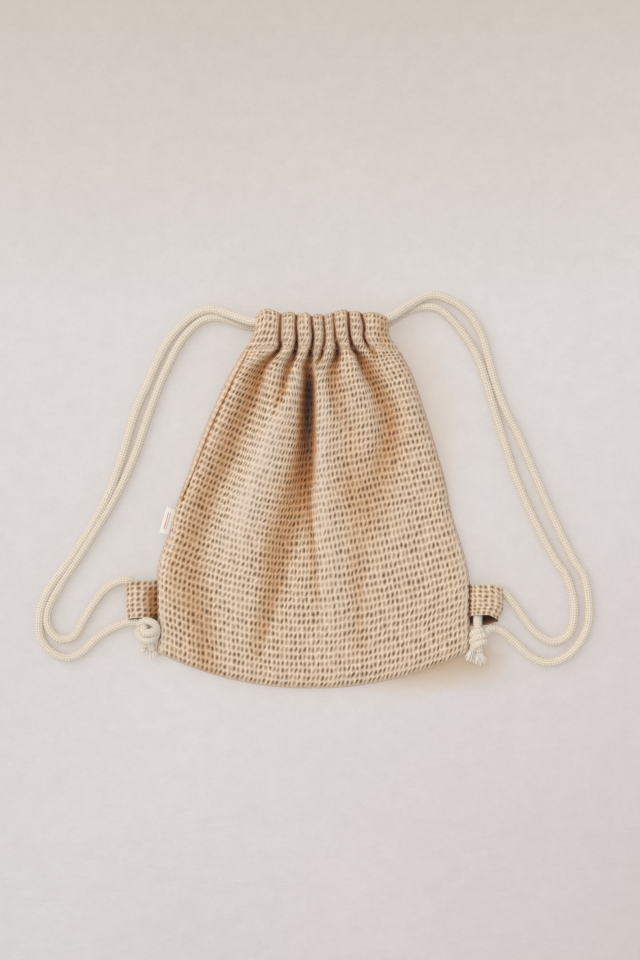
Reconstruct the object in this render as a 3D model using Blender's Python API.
"""Waffle-weave drawstring bag, lying flat on its back panel.

Frame: metres, +Z up, +X to the bag's right side, +Y towards the gathered mouth.
The front panel lies on top of the back one.
Origin: on the rest plane, under the middle of the back panel.
All dimensions below are in millimetres. A `side` is -1 for the left (-X) and 1 for the right (+X).
"""
import math

import bmesh
import bpy
import numpy as np
from mathutils import Vector

MM = 0.001
LEFT, RIGHT = -1, 1

# ---------------------------------------------------------------- driving dimensions
CLOTH = 2.4                # thickness of the waffle cloth
CORD_R = 4.5               # cord radius
THREAD_R = 0.5             # sewing thread

GATHER_Y = 147.0           # where the panels end and the gathered casings begin
CASING_Y0, CASING_Y1 = 149.2, 188.0
CASING_WALL = 1.4
TUNNEL_H = 9.8             # clear height of a casing tunnel
SLIT = 2.4                 # mouth slit between the two casings
MOUTH_X = {LEFT: -59.0, RIGHT: 74.0}   # ends of the gathered mouth

CASING_H = 2 * CASING_WALL + TUNNEL_H
BACK_Z = CASING_H / 2                  # middle of the back tunnel
FRONT_Z = CASING_H + SLIT + BACK_Z     # middle of the front tunnel
MOUTH_Z = CASING_H + SLIT / 2          # middle of the slit

# the two cords lie side by side in each tunnel, at these Y
LEFT_LANE, RIGHT_LANE = 171.4, 181.0
# cord, the end of the mouth that it turns round, its lane
CORDS = (("right", LEFT, RIGHT_LANE), ("left", RIGHT, LEFT_LANE))

# where each strap's joint axis meets the mouth
LEFT_PIVOT = (-92.0, 182.0, 9.0)
RIGHT_PIVOT = (100.0, 196.0, 9.0)


# ---------------------------------------------------------------- materials
def material(name, colour, roughness):
    mat = bpy.data.materials.new(name)
    mat.use_nodes = True
    shader = mat.node_tree.nodes["Principled BSDF"]
    shader.inputs["Base Color"].default_value = (*colour, 1.0)
    shader.inputs["Roughness"].default_value = roughness
    return mat


for old in list(bpy.data.objects):
    bpy.data.objects.remove(old)

CLOTH_MAT = material("waffle_cloth", colour=(0.62, 0.45, 0.28), roughness=0.95)
CORD_MAT = material("cotton_cord", colour=(0.80, 0.73, 0.60), roughness=0.9)
THREAD_MAT = material("sewing_thread", colour=(0.66, 0.50, 0.33), roughness=0.8)
LABEL_MAT = material("woven_label", colour=(0.86, 0.80, 0.72), roughness=0.8)


# ---------------------------------------------------------------- mesh helpers
def add(name, bm, mat, smooth_deg=None):
    """Links a bmesh as an object, shaded smooth below the given angle if there is one."""
    bmesh.ops.remove_doubles(bm, verts=bm.verts, dist=1e-4 * MM)
    bmesh.ops.recalc_face_normals(bm, faces=bm.faces)
    mesh = bpy.data.meshes.new(name)
    bm.to_mesh(mesh)
    bm.free()
    mesh.materials.append(mat)
    if smooth_deg:
        mesh.shade_smooth()
        mesh.set_sharp_from_angle(angle=math.radians(smooth_deg))
    ob = bpy.data.objects.new(name, mesh)
    bpy.context.scene.collection.objects.link(ob)
    return ob


def new_verts(bm, points):
    return [bm.verts.new(Vector(p) * MM) for p in points]


def bridge(bm, loop_a, loop_b):
    """Joins two closed loops of vertices with a band of quads."""
    count = len(loop_a)
    for k in range(count):
        after = (k + 1) % count
        bm.faces.new((loop_a[k], loop_a[after], loop_b[after], loop_b[k]))


def skin(rings):
    """A closed solid through rings of points, with a flat cap on each end."""
    bm = bmesh.new()
    loops = [new_verts(bm, ring) for ring in rings]
    for loop_a, loop_b in zip(loops, loops[1:]):
        bridge(bm, loop_a, loop_b)
    bm.faces.new(list(reversed(loops[0])))
    bm.faces.new(loops[-1])
    return bm


def catmull(points, steps):
    """A smooth curve through the points, with `steps` steps between neighbours."""
    p = [Vector(q) for q in points]
    p = [2 * p[0] - p[1]] + p + [2 * p[-1] - p[-2]]
    curve = []
    for a, b, c, d in zip(p, p[1:], p[2:], p[3:]):
        for k in range(steps):
            t = k / steps
            curve.append(0.5 * (
                2 * b
                + (c - a) * t
                + (2 * a - 5 * b + 4 * c - d) * t ** 2
                + (3 * b - a - 3 * c + d) * t ** 3
            ))
    curve.append(p[-2])
    return curve


def rod(name, points, radius, mat, sides=8):
    """A round rod along a path that starts near level, its rings turned as little as possible."""
    path = [Vector(p) for p in points]
    normal = Vector((0, 0, 1))
    rings = []
    for i, centre in enumerate(path):
        before, after = path[max(0, i - 1)], path[min(len(path) - 1, i + 1)]
        tangent = (after - before).normalized()
        normal = (normal - tangent * normal.dot(tangent)).normalized()
        binormal = tangent.cross(normal)
        angles = [2 * math.pi * k / sides for k in range(sides)]
        rings.append([
            centre + (normal * math.cos(a) + binormal * math.sin(a)) * radius for a in angles
        ])
    return add(name, skin(rings), mat, smooth_deg=50)


def block(name, low, high, mat):
    """A box between two opposite corners."""
    bm = bmesh.new()
    bmesh.ops.create_cube(bm, size=1.0)
    low, high = Vector(low), Vector(high)
    for v in bm.verts:
        v.co = ((low + high) / 2 + v.co * (high - low)) * MM
    return add(name, bm, mat)


def boolean(ob, other, operation):
    """Applies a boolean to an object and removes the other operand."""
    modifier = ob.modifiers.new(operation.lower(), "BOOLEAN")
    modifier.operation = operation
    modifier.solver = "EXACT"
    modifier.object = other
    bpy.context.view_layer.update()
    graph = bpy.context.evaluated_depsgraph_get()
    mesh = bpy.data.meshes.new_from_object(ob.evaluated_get(graph))
    ob.modifiers.clear()
    ob.data = mesh
    bpy.data.objects.remove(other)


def set_origin(names, point):
    """Puts the origin of each named object at a point without moving its mesh."""
    shift = Vector(point) * MM
    for name in names:
        ob = bpy.data.objects[name]
        for v in ob.data.vertices:
            v.co -= shift
        ob.location = shift


# ---------------------------------------------------------------- panels
# outline of the panels: Y, left X, right X
OUTLINE = [
    (-156.0, -152.0, 153.0),
    (-120.0, -156.0, 154.5),
    (-80.0, -155.0, 152.0),
    (-45.0, -148.5, 145.0),
    (0.0, -135.5, 134.0),
    (50.0, -120.0, 121.0),
    (95.0, -102.0, 104.0),
    (122.0, -89.0, 93.5),
    (GATHER_Y, -73.0, 81.0),
]
OUTLINE_Y, LEFT_X, RIGHT_X = zip(*OUTLINE)
BOTTOM_Y = OUTLINE_Y[0]
BOTTOM_SAG = 29.0          # the middle of the bottom seam bows towards -Y by this much

ROWS = [BOTTOM_Y, -128.0, -80.0, -20.0, 50.0, 110.0, GATHER_Y]
COLUMNS = [-1.0, -0.80, -0.55, 0.0, 0.55, 0.80, 1.0]   # from left seam to right seam

RIM_Z = 4.2                # underside of the front panel at the seams
FRONT_LOW, FRONT_HIGH = 15.0, 24.0     # top of the front panel at ROWS[1] and at the gathers
SHOULDER = 0.45            # share of the half width over which the front panel rises
SHOULDER_POWER = 1.6       # how full that rise is


def side_x(y, side):
    """Left or right edge of the panels at height y."""
    return float(np.interp(y, OUTLINE_Y, LEFT_X if side == LEFT else RIGHT_X))


def cloth_point(y, t):
    """Plan position for row y and t from -1 (left seam) to 1 (right seam)."""
    left, right = side_x(y, LEFT), side_x(y, RIGHT)
    sag = BOTTOM_SAG * (GATHER_Y - y) / (GATHER_Y - BOTTOM_Y)
    return (left + right) / 2 + (right - left) / 2 * t, y - sag * (1 - t * t)


def back_top(y, t):
    return CLOTH


def front_top(y, t):
    """Height of the front panel's top face: low along the seams, full in the middle."""
    rim = RIM_Z + CLOTH
    if y <= BOTTOM_Y:
        return rim
    full = FRONT_LOW + (FRONT_HIGH - FRONT_LOW) * (y - ROWS[1]) / (GATHER_Y - ROWS[1])
    share = min(1.0, (1 - abs(t)) / SHOULDER)
    return rim + (full - rim) * (1 - (1 - share) ** SHOULDER_POWER)


def panel(name, top_z):
    """A closed sheet of cloth over the grid of rows and columns, below a height function."""
    bm = bmesh.new()
    tops, unders = [], []
    for y in ROWS:
        plan = [(*cloth_point(y, t), top_z(y, t)) for t in COLUMNS]
        tops.append(new_verts(bm, plan))
        unders.append(new_verts(bm, [(px, py, pz - CLOTH) for px, py, pz in plan]))
    last = len(COLUMNS) - 1
    for r in range(len(ROWS) - 1):
        top_a, top_b = tops[r], tops[r + 1]
        under_a, under_b = unders[r], unders[r + 1]
        for i in range(last):
            bm.faces.new((top_a[i], top_a[i + 1], top_b[i + 1], top_b[i]))
            bm.faces.new((under_a[i], under_b[i], under_b[i + 1], under_a[i + 1]))
        for i in (0, last):
            bm.faces.new((top_a[i], top_b[i], under_b[i], under_a[i]))
    for r in (0, -1):
        for i in range(last):
            bm.faces.new((tops[r][i], unders[r][i], unders[r][i + 1], tops[r][i + 1]))
    add(name, bm, CLOTH_MAT, smooth_deg=35)


panel("back_panel", back_top)
panel("front_panel", front_top)

# ---------------------------------------------------------------- gathered casings
PLEATS = 8                 # pleats across the mouth
PLEAT_DEPTH = 3.0
STATIONS_PER_PLEAT = 4
CASING_CORNER = 1.6        # chamfer along the outside edges
NOTCH_LENGTH = 20.0        # how far a notch runs in from the end of the mouth
NOTCH_SIDE_GAP = 0.35      # clearance beside the cord
NOTCH_EXTRA_DEPTH = 0.6    # how far a notch is cut past the wall
OVERCUT = 1.0              # how far a cutter stands clear of the cloth


def casing(name, z0, pleated):
    """A flattened tube along X that the cords run through, its top pleated or plain."""
    z1 = z0 + CASING_H
    y0, y1 = CASING_Y0, CASING_Y1
    corner, wall = CASING_CORNER, CASING_WALL
    tunnel = [(y0 + wall, z0 + wall), (y1 - wall, z0 + wall),
              (y1 - wall, z1 - wall), (y0 + wall, z1 - wall)]
    bm = bmesh.new()
    loops = []
    stations = PLEATS * STATIONS_PER_PLEAT
    for s in range(stations + 1):
        x = MOUTH_X[LEFT] + (MOUTH_X[RIGHT] - MOUTH_X[LEFT]) * s / stations
        top = z1
        if pleated:
            top += PLEAT_DEPTH * 0.5 * (1 - math.cos(2 * math.pi * PLEATS * s / stations))
        outside = [
            (y0 + corner, z0), (y1 - corner, z0), (y1, z0 + corner), (y1, top - corner),
            (y1 - corner, top), (y0 + corner, top), (y0, top - corner), (y0, z0 + corner),
        ]
        loops.append([new_verts(bm, [(x, y, z) for y, z in loop]) for loop in (outside, tunnel)])
    for (outer_a, inner_a), (outer_b, inner_b) in zip(loops, loops[1:]):
        bridge(bm, outer_a, outer_b)
        bridge(bm, inner_a, inner_b)
    for outer, inner in (loops[0], loops[-1]):
        for k in range(4):
            after = inner[(k + 1) % 4]
            bm.faces.new((outer[2 * k], outer[2 * k + 1], after, inner[k]))
            bm.faces.new((outer[2 * k + 1], outer[(2 * k + 2) % 8], after))
    return add(name, bm, CLOTH_MAT, smooth_deg=40)


def cut_notches(ob, low_z, high_z):
    """Cuts a casing's wall back at both ends, where a cord turns round the end of the mouth."""
    half_width = CORD_R + NOTCH_SIDE_GAP
    for _, side, lane in CORDS:
        end = MOUTH_X[side]
        low_x, high_x = sorted((end + side * OVERCUT, end - side * NOTCH_LENGTH))
        cutter = block("notch", (low_x, lane - half_width, low_z),
                       (high_x, lane + half_width, high_z), CLOTH_MAT)
        boolean(ob, cutter, "DIFFERENCE")


# the notches are in the walls that face the other casing
NOTCH_DEPTH = CASING_WALL + NOTCH_EXTRA_DEPTH
back_casing = casing("back_casing", 0.0, pleated=False)
cut_notches(back_casing, CASING_H - NOTCH_DEPTH, CASING_H + OVERCUT)
FRONT_CASING_Z0 = CASING_H + SLIT
front_casing = casing("front_casing", FRONT_CASING_Z0, pleated=True)
cut_notches(front_casing, FRONT_CASING_Z0 - OVERCUT, FRONT_CASING_Z0 + NOTCH_DEPTH)

# ---------------------------------------------------------------- cords inside the mouth
BIGHT_R = (FRONT_Z - BACK_Z) / 2
BIGHT_END_GAP = 0.6        # from the outside of the turn to the end of the mouth
BIGHT_LEG = 5.0            # straight length at each end of the turn
BIGHT_STEPS = 12
CINCH_IN = 24.0            # how far each end of the mouth moves inwards when drawn tighter
RUN_GAP = 1.5              # from a run to its bight when the mouth is drawn tighter
RUN_LEAD = 10.0            # from the second point of a run to the first point of its table
PIVOT_CUT = 7.2            # a strand stops this far short of its strap's pivot in X

# each run's way out of the mouth, from inside its tunnel
EXITS = {
    "left_cord_front_run": [
        (-30, LEFT_LANE, FRONT_Z), (-50, LEFT_LANE, FRONT_Z), (-61.5, LEFT_LANE, FRONT_Z),
        (-66, LEFT_LANE + 0.4, FRONT_Z - 0.9), (-74, 174.0, 17.0),
        (LEFT_PIVOT[0] + PIVOT_CUT, 180.2, 12.8),
    ],
    "left_cord_back_run": [
        (-30, LEFT_LANE, BACK_Z), (-50, LEFT_LANE, BACK_Z), (-62, LEFT_LANE, BACK_Z),
        (-72, 171.0, 5.6), (LEFT_PIVOT[0] + PIVOT_CUT, 171.2, 5.2),
    ],
    "right_cord_front_run": [
        (44, RIGHT_LANE, FRONT_Z), (64, RIGHT_LANE, FRONT_Z), (76.5, RIGHT_LANE, FRONT_Z),
        (80, RIGHT_LANE + 0.8, FRONT_Z - 0.9), (85.5, 186.0, 17.6), (91.4, 192.6, 14.6),
    ],
    "right_cord_back_run": [
        (44, RIGHT_LANE, BACK_Z), (64, RIGHT_LANE, BACK_Z), (77, RIGHT_LANE, BACK_Z),
        (85, 182.4, 5.6), (RIGHT_PIVOT[0] - PIVOT_CUT, 184.8, 5.2),
    ],
}


def bight(name, side, lane, centre_x):
    """The turn a cord makes round the end of the mouth, from the front tunnel to the back one."""
    legs = [centre_x - side * BIGHT_LEG, centre_x - side * BIGHT_LEG / 2]
    path = [(x, lane, FRONT_Z) for x in legs]
    for k in range(BIGHT_STEPS + 1):
        a = math.pi * k / BIGHT_STEPS
        path.append((centre_x + side * BIGHT_R * math.sin(a), lane,
                     MOUTH_Z + BIGHT_R * math.cos(a)))
    path += [(x, lane, BACK_Z) for x in reversed(legs)]
    rod(name, path, CORD_R, CORD_MAT, sides=10)


def cord_run(name, side, lane, z, start_x):
    """A strand through one tunnel and out of the mouth, away from its bight."""
    way_out = EXITS[name]
    lead_x = way_out[0][0] + side * RUN_LEAD
    path = [(start_x, lane, z), (lead_x, lane, z)] + catmull(way_out, 3)
    rod(name, path, CORD_R, CORD_MAT)


for cord, side, lane in CORDS:
    centre_x = MOUTH_X[side] - side * (BIGHT_R + CORD_R + BIGHT_END_GAP)
    bight(f"{cord}_cord_bight", side, lane, centre_x)
    start_x = centre_x - side * (BIGHT_LEG + CINCH_IN + RUN_GAP)
    cord_run(f"{cord}_cord_front_run", side, lane, FRONT_Z, start_x)
    cord_run(f"{cord}_cord_back_run", side, lane, BACK_Z, start_x)

# ---------------------------------------------------------------- straps
FLOOR = CORD_R + 0.2       # middle of a cord that lies on the table

# the two strands of each cord, from the mouth round to the tab loop
STRANDS = {
    "left_cord_outer_strand": [
        (-93.6, 184.6, 10.6), (-102, 189.5, 8.0), (-116, 188.5, FLOOR), (-130, 180, FLOOR),
        (-145, 165, FLOOR), (-165, 128, FLOOR), (-190, 72, FLOOR), (-202, 25, FLOOR),
        (-228, -20, FLOOR), (-250, -60, FLOOR), (-265.5, -86, FLOOR), (-273, -101, FLOOR),
        (-276, -127, FLOOR), (-266, -149, FLOOR), (-245, -156, FLOOR), (-222, -142, FLOOR),
        (-200, -124, FLOOR + 1), (-190.5, -121.0, FLOOR + 2.6), (-184.2, -122.4, 8.6),
    ],
    "left_cord_inner_strand": [
        (-92.6, 172.6, FLOOR), (-99, 176.4, FLOOR), (-115, 175.5, FLOOR), (-130, 163, FLOOR),
        (-143, 146, FLOOR), (-163, 104, FLOOR), (-180, 61, FLOOR), (-192.5, 24, FLOOR),
        (-217.0, -24.4, FLOOR), (-237.0, -60.8, FLOOR), (-253.8, -88, FLOOR),
        (-262.8, -112, FLOOR), (-260, -134, FLOOR), (-247, -139.5, FLOOR),
        (-231, -126, FLOOR), (-216, -102, FLOOR), (-203, -85, FLOOR + 0.6),
        (-193, -73.5, FLOOR + 1.6), (-184.0, -70.0, 6.8), (-179.2, -77.0, 7.5),
        (-178.5, -90.0, 7.7), (-178.2, -104.0, 7.7), (-177.8, -115.0, 7.7),
    ],
    "right_cord_outer_strand": [
        (102.2, 199.0, 11.4), (112.7, 203.4, 8.0), (126.7, 203.2, FLOOR), (141, 196, FLOOR),
        (162, 173.5, FLOOR), (176, 141, FLOOR), (190, 99, FLOOR), (209.5, 60, FLOOR),
        (223.6, 23.6, FLOOR), (243, -20, FLOOR), (261.7, -60, FLOOR), (271, -87.6, FLOOR),
        (273, -117, FLOOR), (264.8, -143.7, FLOOR), (242.3, -160.5, FLOOR),
        (220, -158, FLOOR), (200, -143, FLOOR), (187.5, -132.6, FLOOR + 1.5),
        (181.4, -129.8, 8.0),
    ],
    "right_cord_inner_strand": [
        (101.0, 187.8, FLOOR), (108, 190.5, FLOOR), (117, 190.0, FLOOR), (128, 182, FLOOR),
        (149.5, 158, FLOOR), (164.5, 131, FLOOR), (176, 95, FLOOR), (187, 56, FLOOR),
        (201, 23.6, FLOOR), (224, -20, FLOOR), (242.3, -60, FLOOR), (256, -92, FLOOR),
        (256.6, -123.3, FLOOR), (239.3, -139.1, FLOOR), (217, -130.4, FLOOR),
        (200.5, -108, FLOOR), (192.5, -91.0, FLOOR + 0.8), (186.5, -78.0, 6.4),
        (179.0, -71.5, 7.2), (174.2, -78.0, 7.6), (173.5, -90.0, 7.7), (173.2, -104.0, 7.7),
        (172.4, -118.0, 7.7),
    ],
}
for name, points in STRANDS.items():
    rod(name, catmull(points, 2), CORD_R, CORD_MAT, sides=7)

TAIL_R = CORD_R * 1.15


def knot(name, centre, size, tail_from, tail_to):
    """A knot drawn as a rounded lump with its two cut ends as one tail."""
    bm = bmesh.new()
    bmesh.ops.create_icosphere(bm, subdivisions=2, radius=1.0)
    for v in bm.verts:
        v.co = (v.co * Vector(size) / 2 + Vector(centre)) * MM
    ob = add(name, bm, CORD_MAT, smooth_deg=50)
    middle = (Vector(tail_from) + Vector(tail_to)) / 2
    tail = rod("tail", [tail_from, middle, tail_to], TAIL_R, CORD_MAT, sides=7)
    boolean(ob, tail, "UNION")
    # one slot for the whole union
    ob.data.materials.clear()
    ob.data.materials.append(CORD_MAT)


knot("left_cord_knot", centre=(-169.6, -132.6, 9.4), size=(22.4, 27.0, 17.6),
     tail_from=(-165.0, -141.0, 7.5), tail_to=(-162.6, -152.5, 6.4))
knot("right_cord_knot", centre=(165.6, -137.4, 9.6), size=(23.0, 27.0, 18.0),
     tail_from=(164.4, -146.0, 7.5), tail_to=(163.6, -158.0, 6.2))

# ---------------------------------------------------------------- tab loops
TAB_IN_R = CORD_R + 1.6
TAB_OUT_R = TAB_IN_R + 1.5
TAB_Z = TAB_OUT_R + 0.15   # middle of the loop, just clear of the table
TAB_ARC = 240              # degrees of the round part
TAB_STEPS = 12
NECK_LENGTH = 7.0          # from the root to where the loop opens
NECK_HALF_H, ROOT_HALF_H = 2.0, 1.9
THROAT_IN = 2.6            # from the neck to the narrow end of the opening
THROAT_HALF_H = 0.5


def tab(name, side, root_x, top_y, low_y, loop_x):
    """A folded strip round the cord: a teardrop section in X and Z, drawn along Y."""
    def arc(radius):
        start, step = -TAB_ARC / 2, TAB_ARC / TAB_STEPS
        angles = [math.radians(start + step * k) for k in range(TAB_STEPS + 1)]
        return [(loop_x + side * radius * math.cos(a), TAB_Z + radius * math.sin(a))
                for a in angles]

    neck = root_x + side * NECK_LENGTH
    throat = neck + side * THROAT_IN
    outside = arc(TAB_OUT_R) + [
        (neck, TAB_Z + NECK_HALF_H), (root_x, TAB_Z + ROOT_HALF_H),
        (root_x, TAB_Z - ROOT_HALF_H), (neck, TAB_Z - NECK_HALF_H),
    ]
    opening = arc(TAB_IN_R) + [(throat, TAB_Z + THROAT_HALF_H), (throat, TAB_Z - THROAT_HALF_H)]
    bm = bmesh.new()
    ends = [[new_verts(bm, [(x, y, z) for x, z in loop]) for loop in (outside, opening)]
            for y in (top_y, low_y)]
    (outer_a, inner_a), (outer_b, inner_b) = ends
    bridge(bm, outer_a, outer_b)
    bridge(bm, inner_a, inner_b)
    n = TAB_STEPS
    for outer, inner in ends:
        # up to the upper side of the neck, then the flat root, then back to the arc's start
        for k in range(n + 1):
            bm.faces.new((outer[k], outer[k + 1], inner[k + 1], inner[k]))
        bm.faces.new((*outer[n + 1:n + 5], inner[n + 2], inner[n + 1]))
        bm.faces.new((outer[n + 4], outer[0], inner[0], inner[n + 2]))
    add(name, bm, CLOTH_MAT, smooth_deg=40)


tab("left_tab_loop", LEFT, root_x=-159.4, top_y=-84.0, low_y=-116.6, loop_x=-178.4)
tab("right_tab_loop", RIGHT, root_x=157.8, top_y=-85.0, low_y=-117.0, loop_x=173.4)

# ---------------------------------------------------------------- woven label at the left seam
LABEL_ROOT = Vector((-142.3, -22.0, 5.0))
LABEL_ALONG = Vector((0.278, 0.961, 0.0)).normalized()     # along the seam
LABEL_OUT = Vector((-LABEL_ALONG.y, LABEL_ALONG.x, 0.0))   # away from the bag
LABEL_NEAR, LABEL_FAR = 0.3, 10.0      # its edges, measured outwards from the root
LABEL_LENGTH, LABEL_THICKNESS = 26.0, 1.0


def label():
    half = LABEL_ALONG * LABEL_LENGTH / 2
    near, far = LABEL_ROOT + LABEL_OUT * LABEL_NEAR, LABEL_ROOT + LABEL_OUT * LABEL_FAR
    lift = Vector((0, 0, LABEL_THICKNESS / 2))
    corners = [near - half, near + half, far + half, far - half]
    rings = [[c - lift for c in corners], [c + lift for c in corners]]
    add("side_label", skin(rings), LABEL_MAT)


label()

# ---------------------------------------------------------------- sewing
SEAM_Z = (CLOTH + RIM_Z) / 2
SEAM_INSET = 2.2
ROOT_INSET = SEAM_INSET + 1.8          # the lines beside the tabs and the label
SEAM_STATIONS = (-150, -120, -80, -45, 0, 50, 95, 122, 144)
TAB_STATIONS = (-84, -100, -116)
LABEL_STATIONS = (-33, -22, -11)
BOTTOM_REACH = 0.96                    # share of the bottom seam that its thread spans
BOTTOM_STEPS = 12
CASING_LINE_Y = (GATHER_Y + CASING_Y0) / 2
CASING_LINE_X = (MOUTH_X[LEFT] + 2, -20, 30, MOUTH_X[RIGHT] - 2)
TACK_GAP, TACK_THICKNESS = 0.4, 1.6    # along X, outwards from the end of the mouth
TACK_Y0, TACK_Y1 = CASING_Y0 + 0.3, CASING_Y0 + 6.3
TACK_HALF_H = 4.0


def thread(name, path):
    rod(name, path, THREAD_R, THREAD_MAT, sides=6)


def side_thread(name, side, inset, stations):
    """A thread that follows a side seam, just inside it."""
    thread(name, [(side_x(y, side) - side * inset, y, SEAM_Z) for y in stations])


def bottom_thread():
    path = []
    for k in range(BOTTOM_STEPS + 1):
        x, y = cloth_point(BOTTOM_Y, BOTTOM_REACH * (2 * k / BOTTOM_STEPS - 1))
        path.append((x, y + SEAM_INSET, SEAM_Z))
    thread("bottom_seam_thread", path)


def bartack(name, side):
    """A small block across the slit at one end of the mouth."""
    near = MOUTH_X[side] + side * TACK_GAP
    low_x, high_x = sorted((near, near + side * TACK_THICKNESS))
    block(name, (low_x, TACK_Y0, MOUTH_Z - TACK_HALF_H),
          (high_x, TACK_Y1, MOUTH_Z + TACK_HALF_H), THREAD_MAT)


for word, side in (("left", LEFT), ("right", RIGHT)):
    side_thread(f"{word}_side_seam_thread", side, SEAM_INSET, SEAM_STATIONS)
    side_thread(f"{word}_tab_stitching", side, ROOT_INSET, TAB_STATIONS)
    bartack(f"{word}_mouth_bartack", side)
side_thread("label_stitching", LEFT, ROOT_INSET, LABEL_STATIONS)
bottom_thread()
for name, z in (("front_casing_stitching", 21.0), ("back_casing_stitching", 1.2)):
    thread(name, [(x, CASING_LINE_Y, z) for x in CASING_LINE_X])

# ---------------------------------------------------------------- origins of the moving pieces
for word, pivot in (("left", LEFT_PIVOT), ("right", RIGHT_PIVOT)):
    strap = ("cord_outer_strand", "cord_inner_strand", "cord_knot", "tab_loop")
    set_origin([f"{word}_{part}" for part in strap], pivot)
set_origin(["side_label"], LABEL_ROOT)
set_origin(["left_mouth_bartack", "right_cord_bight"], (MOUTH_X[LEFT], RIGHT_LANE, MOUTH_Z))
set_origin(["right_mouth_bartack", "left_cord_bight"], (MOUTH_X[RIGHT], LEFT_LANE, MOUTH_Z))
